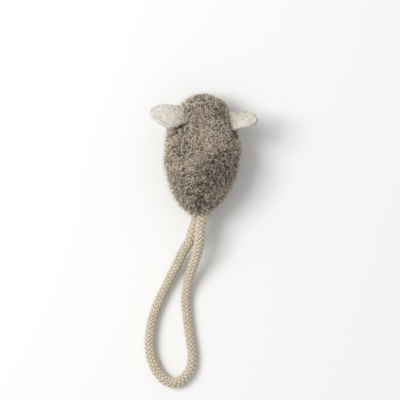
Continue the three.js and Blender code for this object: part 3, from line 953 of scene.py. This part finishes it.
# Body: stuffed felt, settled as cloth under pressure with the ears' slots and the mouth held
feltBody = {
    "length": 53.6, "width": 32.4, "height": 27.5,
    # shares of those from the nose to the mouth: place, half width, back, belly; and a shift in mm
    "stations": [
        (0.539, 0, 0.414, 0.414, 0.9), (0.527, 0.17, 0.521, 0.314, 0.9),
        (0.499, 0.371, 0.607, 0.236, 0.9), (0.451, 0.539, 0.7, 0.157, 0.9),
        (0.378, 0.68, 0.786, 0.093, 0.9), (0.301, 0.76, 0.85, 0.05, 0.9),
        (0.206, 0.93, 0.921, 0.007, 0.6), (0.108, 0.985, 0.979, -0.014, 0.5),
        (0.009, 1, 1, -0.018, 0.2), (-0.099, 0.945, 0.979, -0.018, -0.2),
        (-0.194, 0.87, 0.914, -0.007, -0.4), (-0.286, 0.795, 0.82, 0.032, -0.6),
        (-0.349, 0.66, 0.74, 0.079, -1.0), (-0.4, 0.465, 0.68, 0.15, -1.3),
        (-0.432, 0.33, 0.65, 0.193, -1.3), (-0.457, 0.272, 0.636, 0.204, -1.1),
        (-0.472, 0.24, 0.611, 0.224, -1.0), (-0.457, 0.195, 0.56, 0.265, -1.0),
        (-0.437, 0, 0.4, 0.4, -1.0),
    ],
    "girthLevel": 0.46, "bellySquareness": 2.6,
    "rings": 96, "sides": 72,
    "voxel": 1.15,
    "slack": 0.7,  # how much smaller the skin is before it is filled, mm
    "heldSlack": -0.1,  # and where it is held, at the ears and the mouth
    "looseFromHem": (3, 8),  # where it comes loose, away from a hem and along the body, mm
    "looseFromMouth": (-23, -18),
    "heldFromHem": 3.5,  # what the cloth run holds: near a hem, behind a place and near the floor, mm
    "heldBehind": -22,
    "heldBelow": 0.5,
    "mostSwell": 0.9,  # most that a point may move as it fills, mm
    "frames": 20,
    "clothScale": 20,  # the cloth is run at this many times its size, where its settings are at home
    "cloth": {
        "quality": 6,
        "mass": 0.03,
        "tension_stiffness": 0.5,
        "compression_stiffness": 0.5,
        "bending_stiffness": 0.3,
        "use_pressure": True,
        "uniform_pressure_force": 60,
    },
    "easeBefore": 3,  # rounds of smoothing before and after it is filled
    "easeAfter": 2,
    "lumps": [(7.5, 0.36, 1), (2.6, 0.12, 2)],  # size and height in mm, and seed
    "lumpsFromHem": (2.5, 6),
    "topFrom": 9,  # height at which bulges and creases begin, and the tufts with their painted shade and light, mm
    "tuftsFrom": 8,
    # folds pressed into the back, seen from above; depth, width and width of the painted shade in it,
    # laid as dark wool, mm
    "creases": [
        {
            "line": [(-7.2, 14.9), (-8.6, 13.5), (-9.6, 12.5), (-10.9, 11.1), (-13.2, 9.6)],
            "depth": 2.2, "width": 0.7, "shade": 0.8,
        },
        {"line": [(12.4, 13.4), (14.4, 11.0), (15.6, 8.6)], "depth": 1.2, "width": 1.0, "shade": 0.7},
    ],
    # places where the stuffing swells or sinks, seen from above: x, y, radius, height in mm
    "bulges": [
        (-9.0, 22.0, 3.0, 0.6), (-8.2, 18.0, 3.0, -0.2), (-12.4, 12.4, 2.6, 1.7), (-10.2, 13.6, 1.7, 2.3),
        (14.6, 12.0, 3.0, 0.5),
    ],
    "darkShare": 0.47,  # of the wool, before clouds and tufts
    "darkClouds": [(5.5, 0.3, 4), (2.2, 0.3, 5)],  # size in mm, strength and seed
    # tufts of darker wool, or of lighter where the strength is below 0: partly the felt's own patches,
    # partly painted shade and light, darker towards the lower right away from the lamp and lighter on the
    # lobe under the left ear and on the head's right side; x, y, radius, strength
    "tuftsAndPaintedShade": [
        (9.4, -5.6, 6.6, 0.85), (8.8, 20.2, 4.0, 0.75), (3.2, -8.8, 5.5, 0.55), (0.0, -19.5, 6.0, 0.4),
        (-9.4, 1.2, 3.4, 0.5), (13.0, 2.0, 4.0, 0.25), (0.0, 26.8, 3.2, 0.4), (-9.0, -10.0, 5.0, 0.3),
        (1.4, 9.3, 6.0, -0.6), (-4.5, -3.6, 5.5, -0.35), (2.6, 18.2, 5.0, 0.15), (-12.0, 12.0, 2.2, -0.9),
        (-3.2, 24.0, 2.6, -0.4), (11.6, 20.6, 2.6, -0.4), (-2.0, 9.0, 3.0, 0.2),
    ],
    "leastDark": 0.25,  # share of the dark wool where the felt is palest
    "lightLoss": 0.7,  # share of the light wool that is missing where it is darkest
    "woolOffFloor": (0.8, 2.2),  # heights at which wool sets in above the floor, and even wool, mm
    "evenOffFloor": (2.0, 5.0),
    "mouthFrom": -17.5, "mouthTo": -23.5,  # stretch of felt round the mouth, along the body, mm
}


def bodyRings(body):
    table = np.array(body["stations"])
    size = np.array([body["length"], body["width"] / 2, body["height"], body["height"], 1])
    stations = smoothLine(table * size, body["rings"] + 1)
    sides, power = body["sides"], body["bellySquareness"]
    points, faces = [], []
    for place, half, back, belly, shift in stations:
        girth = belly + (back - belly) * body["girthLevel"]
        for j in range(sides):
            turn = fullTurn * j / sides
            across, up = math.cos(turn), math.sin(turn)
            if up < 0:
                spread = abs(across) ** power + abs(up) ** power
                across, up = (value * spread ** (-1 / power) for value in (across, up))
            rise = back - girth if up > 0 else girth - belly
            points.append((shift + across * half, place, girth + up * rise))
    for i in range(body["rings"]):
        for j in range(sides):
            k = (j + 1) % sides
            faces.append((i * sides + j, i * sides + k, (i + 1) * sides + k, (i + 1) * sides + j))
    return np.array(points) * mm, faces


def hemDistance(points, ear):  # how far points lie from an ear's hem, mm
    own = inEar(ear, points)
    reach = ear["hem"] + earFelt["hemMargin"]
    own[:, 1] -= np.clip(own[:, 1], -reach, reach)
    return np.linalg.norm(own, axis=1)


def nearerHem(points):
    return np.minimum(hemDistance(points, leftEar), hemDistance(points, rightEar))


def looseness(points, body):  # 0 where the skin is held at the ears and the mouth, 1 where it is free
    fromHem = stepAlong(nearerHem(points), *body["looseFromHem"])
    return fromHem * stepAlong(points[:, 1] / mm, *body["looseFromMouth"])


def fillAsCloth(piece, body):  # short cloth run: the skin swells against its held places
    mesh = piece.data
    start = pointsOf(mesh)
    held = nearerHem(start) < body["heldFromHem"]
    held |= start[:, 1] < body["heldBehind"] * mm
    held |= start[:, 2] < body["heldBelow"] * mm
    movePoints(mesh, start * body["clothScale"])
    group = piece.vertex_groups.new(name="held")
    group.add([int(i) for i in np.nonzero(held)[0]], 1.0, "REPLACE")
    change = piece.modifiers.new("fill", "CLOTH")
    for key, value in body["cloth"].items():
        setattr(change.settings, key, value)
    change.settings.vertex_group_mass = "held"
    change.settings.effector_weights.gravity = 0
    change.point_cache.frame_start = 1
    change.point_cache.frame_end = body["frames"]
    for number in range(1, body["frames"] + 1):
        scene.frame_set(number)
    graph = bpy.context.evaluated_depsgraph_get()
    filled = pointsOf(piece.evaluated_get(graph).data) / body["clothScale"]
    piece.modifiers.clear()
    piece.vertex_groups.clear()
    scene.frame_set(1)
    move = filled - start
    reach = np.linalg.norm(move, axis=1, keepdims=True)
    most = body["mostSwell"] * mm
    movePoints(mesh, start + move * (most / np.maximum(reach, most)))
    print("    filled, moved", round(float(reach.mean() / mm), 2), "mm on average before the cap")


def lineDistance(points, line):  # distance seen from above to an open line, mm
    nearest = np.full(len(points), np.inf)
    for (ax, ay), (bx, by) in zip(line, line[1:]):
        run = np.array([bx - ax, by - ay])
        part = np.clip(((points - (ax, ay)) @ run) / (run @ run), 0, 1)[:, None]
        nearest = np.minimum(nearest, np.linalg.norm(points - (ax, ay) - part * run, axis=1))
    return nearest


def spotShare(above, x, y, radius):  # 1 in the middle of a round spot, less and less round it
    return np.exp(-(np.hypot(above[:, 0] - x, above[:, 1] - y) / radius) ** 2)


def creaseShare(above, line, width):  # 1 along a crease, less and less beside it
    return np.exp(-(lineDistance(above, line) / width) ** 2)


def swollenBody(mesh, spots, above, body):  # its points with lumps, bulges and creases
    swell = sum(lumps(spots, size, seed) * height for size, height, seed in body["lumps"])
    swell *= stepAlong(nearerHem(spots), *body["lumpsFromHem"])
    onTop = spots[:, 2] > body["topFrom"] * mm
    for x, y, radius, height in body["bulges"]:
        swell += height * spotShare(above, x, y, radius) * onTop
    for crease in body["creases"]:
        swell -= crease["depth"] * creaseShare(above, crease["line"], crease["width"]) * onTop
    moved = pushedOut(mesh, spots, swell)
    moved[:, 2] = np.maximum(moved[:, 2], 0)
    return moved


def paintWool(mesh, spots, above, body):  # how much dark, light and even wool each place gets, painted shade and light included
    dark = np.full(len(spots), body["darkShare"])
    for size, strength, seed in body["darkClouds"]:
        dark += strength * lumps(spots, size, seed)
    onBack = spots[:, 2] > body["tuftsFrom"] * mm
    # the tufts put in dark and pale wool, some of it painted shade and light
    for x, y, radius, strength in body["tuftsAndPaintedShade"]:
        dark += strength * spotShare(above, x, y, radius) * onBack
    onTop = spots[:, 2] > body["topFrom"] * mm
    # painted shade along the creases: dark wool put in, pale and even wool taken out
    creaseShade = np.zeros(len(spots))
    for crease in body["creases"]:
        creaseShade = np.maximum(creaseShade, creaseShare(above, crease["line"], crease["shade"]) * onTop)
    dark = np.clip(dark + creaseShade, 0, 1)
    heights = spots[:, 2] / mm
    offFloor = stepAlong(heights, *body["woolOffFloor"])  # no wool between the belly and the floor
    wellOff = stepAlong(heights, *body["evenOffFloor"])
    # the dark and light wool carry the painted shade and light of the creases and tufts
    least = body["leastDark"]
    paint(mesh, "darkWoolAndShade", (least + (1 - least) * dark) * offFloor)
    paint(mesh, "lightWool", (1 - body["lightLoss"] * dark) * (1 - creaseShade) * offFloor)
    paint(mesh, "evenWool", (1 - creaseShade) * wellOff)


def makeBody(body, material):
    points, faces = bodyRings(body)
    piece = meshPiece("felt_skin", points, faces, material)
    mesh = piece.data
    tidyFaces(mesh)
    spots = pointsOf(mesh)
    slack = body["heldSlack"] + (body["slack"] - body["heldSlack"]) * looseness(spots, body)
    movePoints(mesh, pushedOut(mesh, spots, -slack))
    evenFaces(piece, body["voxel"])
    mesh = changed(piece, "SMOOTH", iterations=body["easeBefore"])
    fillAsCloth(piece, body)
    changed(piece, "SMOOTH", iterations=body["easeAfter"])
    mesh = rounded(piece)
    spots = pointsOf(mesh)
    above = spots[:, :2] / mm
    moved = swollenBody(mesh, spots, above, body)
    movePoints(mesh, moved)
    paintWool(mesh, moved, above, body)
    mesh.shade_smooth()
    return piece


bodyWool = [
    {
        "name": "charcoal", "colour": shade(38, 27, 19), "patch": "darkWoolAndShade",
        "density": 2.6, "length": 1.0, "thickness": 0.26, "rise": (-0.15, 0.2),
    },
    {
        "name": "umber", "colour": shade(138, 107, 82), "patch": "darkWoolAndShade",
        "density": 0.7, "length": 1.0, "thickness": 0.25, "rise": (-0.1, 0.2),
    },
    {
        "name": "taupe", "colour": shade(190, 163, 138), "patch": "evenWool",
        "density": 0.5, "length": 1.0, "thickness": 0.25, "rise": (-0.1, 0.2),
    },
    {
        "name": "oat", "colour": shade(236, 216, 191), "patch": "lightWool",
        "density": 1.7, "length": 0.95, "thickness": 0.25, "rise": (0.0, 0.25),
    },
    {
        "name": "pale", "colour": shade(255, 249, 236), "patch": "lightWool",
        "density": 1.7, "length": 0.9, "thickness": 0.25, "rise": (0.05, 0.3),
    },
    {
        "name": "wisps", "colour": shade(236, 226, 210), "patch": "evenWool",
        "density": 1.2, "length": 2.0, "thickness": 0.09, "rise": (-0.05, 0.1),
        "anchor": 0.06, "tilt": (-1.3, -0.5),
    },
    {
        "name": "dark_nap", "colour": shade(44, 33, 25), "patch": "darkWoolAndShade",
        "density": 1.2, "length": 0.95, "thickness": 0.25, "rise": (-0.1, 0.1),
        "anchor": 0.06, "tilt": (-1.4, -0.6),
    },
    {
        "name": "pale_nap", "colour": shade(255, 245, 228), "patch": "lightWool",
        "density": 1.9, "length": 0.95, "thickness": 0.25, "rise": (-0.1, 0.1),
        "anchor": 0.06, "tilt": (-1.4, -0.6),
    },
]
firstBodySeed = 41
# felt under the wool, darker where the dark wool and its painted shade lie
greyFelt = feltMaterial(
    "greyFelt",
    [(0.2, shade(66, 53, 43)), (0.5, shade(140, 121, 104)), (0.8, shade(206, 190, 170))],
    cloudSize=3.5,
    patchName="darkWoolAndShade",
)


def turnWithTail(piece):  # the piece's placement is baked into its mesh
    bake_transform(piece)


skin = makeBody(feltBody, greyFelt)
print("body filled:", len(skin.data.polygons), "faces")
coat = []
for step, tone in enumerate(bodyWool):
    toned = fibreMaterial("bodyWool_" + tone["name"], tone["colour"])
    coat.append(scatterWool("body_wool_" + tone["name"], skin, tone, toned, firstBodySeed + step))
for piece in [skin] + coat:
    turnWithTail(piece)
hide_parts("felt_body")
print("wool laid on the body")

# Filling and sewing: seen only when the felt is opened
muslinLook = {
    "stops": [(0.1, shade(190, 178, 150)), (0.8, shade(236, 229, 210))],
    "threads": 1.2,  # for each millimetre
    "roughness": 0.9,
    "sheen": 0.1,
    "bump": 0.6,
    "depth": 0.2,
}
threadLook = {
    "stops": [(0.1, shade(74, 62, 52)), (0.9, shade(138, 120, 104))],
    "roughness": 0.7,
    "turns": 0.5,  # of the plies for each millimetre across
    "plies": 1,
    "plyPitch": 0.8,  # mm
    "bump": 0.5,
    "depth": 0.1,
}


def copyOf(node, name, material):
    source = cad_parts[node]
    mesh = source.data.copy()
    mesh.transform(source.matrix_world)
    mesh.materials.clear()
    mesh.materials.append(material)
    piece = bpy.data.objects.new(name, mesh)
    scene.collection.objects.link(piece)
    tidyFaces(mesh)
    return piece


def axesOf(tree):
    return addNode(tree, "ShaderNodeSeparateXYZ", {0: objectPlace(tree)}).outputs


def weaveMaterial(name, look):  # plain weave
    material, shader = newMaterial(name, look["roughness"], sheen=look["sheen"])
    tree = material.node_tree
    pace = fullTurn * look["threads"] / mm
    x, y, z = (maths(tree, "SINE", maths(tree, "MULTIPLY", axis, pace)) for axis in axesOf(tree))
    crossed = maths(tree, "MULTIPLY", maths(tree, "ADD", x, z), y)
    height = maths(tree, "MULTIPLY_ADD", crossed, 0.25, 0.5)
    surfaced(tree, shader, height, height, look)
    return material


def threadMaterial(name, look):  # plies laid round each other
    material, shader = newMaterial(name, look["roughness"])
    tree = material.node_tree
    x, y, z = axesOf(tree)
    turn = maths(tree, "MULTIPLY", maths(tree, "ADD", x, z), look["turns"] / mm)
    ply = spunStrand(tree, y, turn, look)["Ply"]
    surfaced(tree, shader, ply, ply, look)
    return material


# sizes of faces and lumps, and depth of the dents, in mm
filling = [
    {
        "nodes": ("head_wadding", "rump_wadding"), "slot": "wadding",
        "voxel": 0.9, "lump": 2.4, "depth": 0.35,
        "material": feltMaterial(
            "looseWadding",
            [(0.2, shade(214, 211, 204)), (0.5, shade(238, 236, 231)), (0.85, shade(250, 249, 246))],
            cloudSize=3.0,
        ),
    },
    {
        "nodes": ("catnip_sachet",), "slot": "muslin",
        "voxel": 0.6, "lump": 3.0, "depth": 0.15,
        "material": weaveMaterial("muslinWeave", muslinLook),
    },
    {
        "nodes": ("catnip_herb",), "slot": "dried_herb",
        "voxel": 0.6, "lump": 1.4, "depth": 0.45,
        "material": feltMaterial(
            "driedLeaf",
            [(0.2, shade(70, 76, 38)), (0.5, shade(116, 124, 64)), (0.85, shade(164, 164, 98))],
            cloudSize=1.2,
        ),
    },
    {
        "nodes": ("tail_knot",), "slot": "cotton_rope",
        "voxel": 0.6, "lump": 2.0, "depth": 0.3,
        "material": feltMaterial(
            "knottedCotton",
            [(0.2, shade(150, 132, 100)), (0.5, shade(206, 190, 158)), (0.85, shade(232, 220, 194))],
            cloudSize=2.0,
        ),
    },
]
firstFillingSeed = 61


def stuff(kind, seed):
    for node in kind["nodes"]:
        piece = copyOf(node, node + "_soft", kind["material"])
        mesh = evenFaces(piece, kind["voxel"])
        spots = pointsOf(mesh)
        dent = (lumps(spots, kind["lump"], seed) * 0.5 - 0.5) * kind["depth"]  # only ever inwards
        movePoints(mesh, pushedOut(mesh, spots, dent))
        mesh.shade_smooth()
        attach(piece, "body")
        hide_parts(node)


for step, kind in enumerate(filling):
    stuff(kind, firstFillingSeed + step)
sewing = threadMaterial("sewingThread", threadLook)
for node in ("left_ear_thread", "right_ear_thread", "tail_whipping", "sachet_tie"):
    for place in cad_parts[node].material_slots:
        place.material = sewing
print("filling and sewing done")
